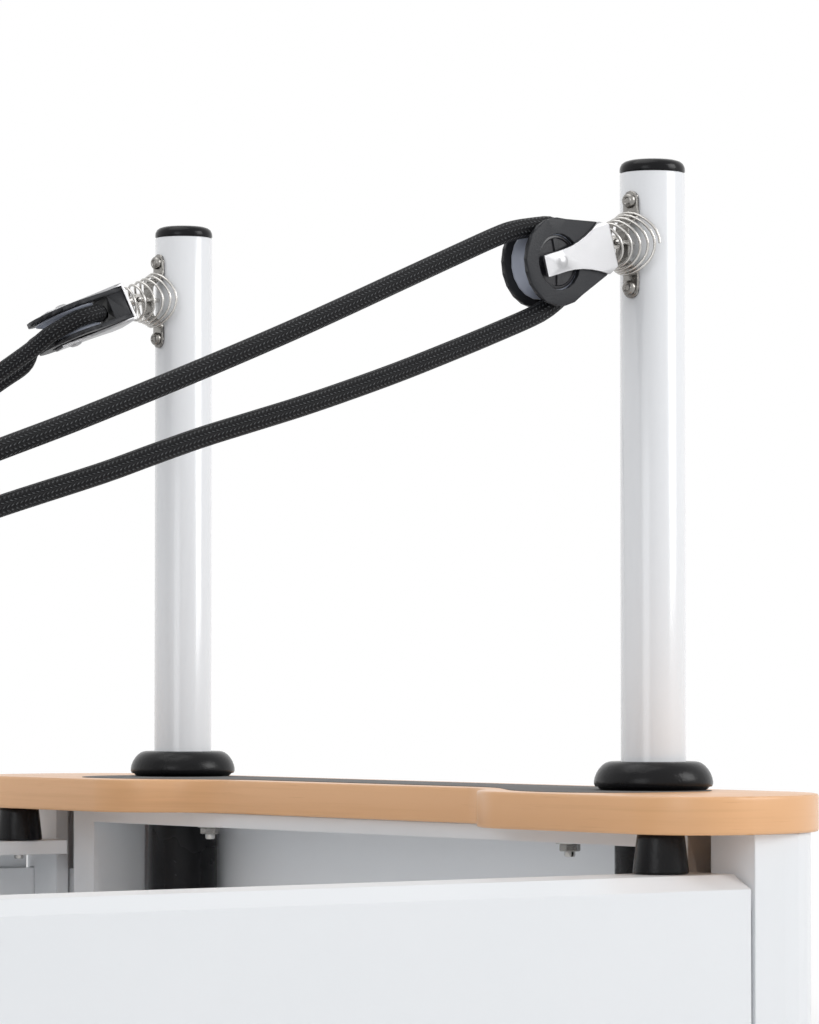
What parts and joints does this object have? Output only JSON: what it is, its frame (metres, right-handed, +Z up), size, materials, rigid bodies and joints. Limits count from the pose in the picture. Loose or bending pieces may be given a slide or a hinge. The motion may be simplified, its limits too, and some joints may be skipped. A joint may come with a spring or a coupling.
{
  "type": "folding pilates reformer",
  "caption": "Folding pilates reformer: a spring-loaded carriage on steel rails, rope pulleys on two white posts, wooden platforms, a foot bar and a mid-bed fold.",
  "frame": {"origin": "on the floor under the middle of the bed, below the fold line", "axes": "+X towards the head end with its posts and pulleys, +Y towards the far side, +Z up"},
  "size_m": [2.294, 0.682, 0.6681],
  "materials": {
    "white_paint": "gloss white powder coat",
    "black_rubber": "matt",
    "black_plastic": "satin black",
    "grey_plastic": "fine matt, dark grey",
    "wheel_plastic": "smooth",
    "sheave_plastic": "smooth grey-white",
    "steel": "bright nickel",
    "beech": "clear satin lacquer",
    "mat_grey": "fine grip texture",
    "vinyl": "soft grain",
    "cord_black": "braided",
    "webbing": "woven"
  },
  "bodies": {
    "head_half": {"head_cover": "white_paint", "head_leg_frame": "white_paint", "head_rail_near": "white_paint", "head_rail_far": "white_paint", "head_foot_near": "black_rubber", "head_foot_far": "black_rubber", "platform_board": "beech", "platform_mat": "mat_grey", "platform_cone_near": "black_rubber", "platform_cone_far": "black_rubber", "post_near": "white_paint", "post_far": "white_paint", "post_cap_near": "black_plastic", "post_cap_far": "black_plastic", "post_socket_near": "black_plastic", "post_socket_far": "black_plastic", "eye_strap_near": "steel", "eye_strap_far": "steel", "stand_up_spring_near": "steel", "stand_up_spring_far": "steel", "head_hinge_bar": "white_paint", "hinge_rod": "steel", "rope_near": "cord_black", "rope_far": "cord_black"},
    "foot_half": {"foot_leg_frame": "white_paint", "foot_rail_near": "white_paint", "foot_rail_far": "white_paint", "foot_foot_near": "black_rubber", "foot_foot_far": "black_rubber", "foot_hinge_bar": "white_paint", "foot_board": "beech", "spring_bar": "white_paint"},
    "foot_bar": {"footbar": "white_paint", "footbar_grip": "black_rubber"},
    "foot_bar_pin": {"footbar_pin": "black_plastic"},
    "carriage": {"carriage_frame": "white_paint", "deck_board": "beech", "deck_cushion": "vinyl", "shoulder_pad_near": "vinyl", "shoulder_pad_far": "vinyl", "handle_loop_near": "webbing", "handle_loop_far": "webbing", "carriage_spring_1": "steel", "carriage_spring_2": "steel", "carriage_spring_3": "steel"},
    "head_rest": {"headrest": "vinyl"},
    "wheel_foot_near": {"carriage_wheel_foot_near": "wheel_plastic"},
    "wheel_foot_far": {"carriage_wheel_foot_far": "wheel_plastic"},
    "wheel_head_near": {"carriage_wheel_head_near": "wheel_plastic"},
    "wheel_head_far": {"carriage_wheel_head_far": "wheel_plastic"},
    "eye_ring_near": {"pulley_ring_near": "steel"},
    "swivel_near": {"swivel_head_near": "steel"},
    "block_near": {"pulley_cheeks_near": "grey_plastic", "pulley_strap_near": "steel"},
    "wheel_near": {"sheave_near": "sheave_plastic"},
    "eye_ring_far": {"pulley_ring_far": "steel"},
    "swivel_far": {"swivel_head_far": "steel"},
    "block_far": {"pulley_cheeks_far": "grey_plastic", "pulley_strap_far": "steel"},
    "wheel_far": {"sheave_far": "sheave_plastic"}
  },
  "joints": [
    {"name": "bed_fold", "type": "hinge", "parent": "head_half", "child": "foot_half", "pos_m": [0, 0, 0.168], "axis": [0, -1, 0], "range_deg": [0, 155], "deforming": ["carriage_spring_1", "carriage_spring_2", "carriage_spring_3"]},
    {"name": "carriage_slide", "type": "slide", "parent": "head_half", "child": "carriage", "axis": [1, 0, 0], "range_m": [0, 0.66], "stiffness_N_per_m": 450, "springref_m": -0.05, "deforming": ["carriage_spring_1", "carriage_spring_2", "carriage_spring_3", "rope_near", "rope_far"]},
    {"name": "wheel_foot_near_spin", "type": "hinge", "parent": "carriage", "child": "wheel_foot_near", "pos_m": [-0.46, -0.2817, 0.3113], "axis": [0, 1, 0], "continuous": true},
    {"name": "wheel_foot_far_spin", "type": "hinge", "parent": "carriage", "child": "wheel_foot_far", "pos_m": [-0.46, 0.2817, 0.3113], "axis": [0, 1, 0], "continuous": true},
    {"name": "wheel_head_near_spin", "type": "hinge", "parent": "carriage", "child": "wheel_head_near", "pos_m": [0.275, -0.2817, 0.3113], "axis": [0, 1, 0], "continuous": true},
    {"name": "wheel_head_far_spin", "type": "hinge", "parent": "carriage", "child": "wheel_head_far", "pos_m": [0.275, 0.2817, 0.3113], "axis": [0, 1, 0], "continuous": true},
    {"name": "headrest_tilt", "type": "hinge", "parent": "carriage", "child": "head_rest", "pos_m": [0.112, 0, 0.3506], "axis": [0, -1, 0], "range_deg": [0, 40]},
    {"name": "footbar_fold", "type": "hinge", "parent": "foot_half", "child": "foot_bar", "pos_m": [-0.74, 0, 0.262], "axis": [0, -1, 0], "range_deg": [0, 76]},
    {"name": "footbar_pin_pull", "type": "slide", "parent": "foot_bar", "child": "foot_bar_pin", "axis": [0, 1, 0], "range_m": [0, 0.008], "stiffness_N_per_m": 1500, "springref_m": -0.002},
    {"name": "pulley_swing_near", "type": "hinge", "parent": "head_half", "child": "eye_ring_near", "pos_m": [1.08025, -0.22226, 0.6135], "axis": [0, 0, 1], "range_deg": [-20, 20], "stiffness_Nm_per_rad": 2, "deforming": ["rope_near", "stand_up_spring_near"]},
    {"name": "pulley_tilt_near", "type": "hinge", "parent": "eye_ring_near", "child": "swivel_near", "pos_m": [1.07227, -0.22282, 0.6135], "axis": [0.0698, -0.9976, 0], "range_deg": [-15, 15], "stiffness_Nm_per_rad": 2, "deforming": ["rope_near", "stand_up_spring_near"]},
    {"name": "pulley_swivel_near", "type": "hinge", "parent": "swivel_near", "child": "block_near", "pos_m": [1.07227, -0.22282, 0.6135], "axis": [-0.957, -0.0669, -0.2823], "range_deg": [-90, 90], "deforming": ["rope_near", "stand_up_spring_near"]},
    {"name": "sheave_spin_near", "type": "hinge", "parent": "block_near", "child": "wheel_near", "pos_m": [1.02672, -0.226, 0.60006], "axis": [0.0698, -0.9976, 0], "continuous": true},
    {"name": "pulley_swing_far", "type": "hinge", "parent": "head_half", "child": "eye_ring_far", "pos_m": [1.0797, 0.217, 0.6135], "axis": [0, 0, 1], "range_deg": [-20, 20], "stiffness_Nm_per_rad": 2, "deforming": ["rope_far", "stand_up_spring_far"]},
    {"name": "pulley_tilt_far", "type": "hinge", "parent": "eye_ring_far", "child": "swivel_far", "pos_m": [1.07178, 0.21811, 0.6135], "axis": [-0.1392, -0.9903, 0], "range_deg": [-15, 15], "stiffness_Nm_per_rad": 2, "deforming": ["rope_far", "stand_up_spring_far"]},
    {"name": "pulley_swivel_far", "type": "hinge", "parent": "swivel_far", "child": "block_far", "pos_m": [1.07178, 0.21811, 0.6135], "axis": [-0.9245, 0.1299, -0.3584], "range_deg": [-90, 90], "deforming": ["rope_far", "stand_up_spring_far"]},
    {"name": "sheave_spin_far", "type": "hinge", "parent": "block_far", "child": "wheel_far", "pos_m": [1.02777, 0.2243, 0.59644], "axis": [0.3253, -0.2211, -0.9194], "continuous": true}
  ],
  "couplings": [
    {"joint": "wheel_foot_near_spin", "follows": "carriage_slide", "rad_per_m": 50},
    {"joint": "wheel_foot_far_spin", "follows": "carriage_slide", "rad_per_m": 50},
    {"joint": "wheel_head_near_spin", "follows": "carriage_slide", "rad_per_m": 50},
    {"joint": "wheel_head_far_spin", "follows": "carriage_slide", "rad_per_m": 50}
  ]
}
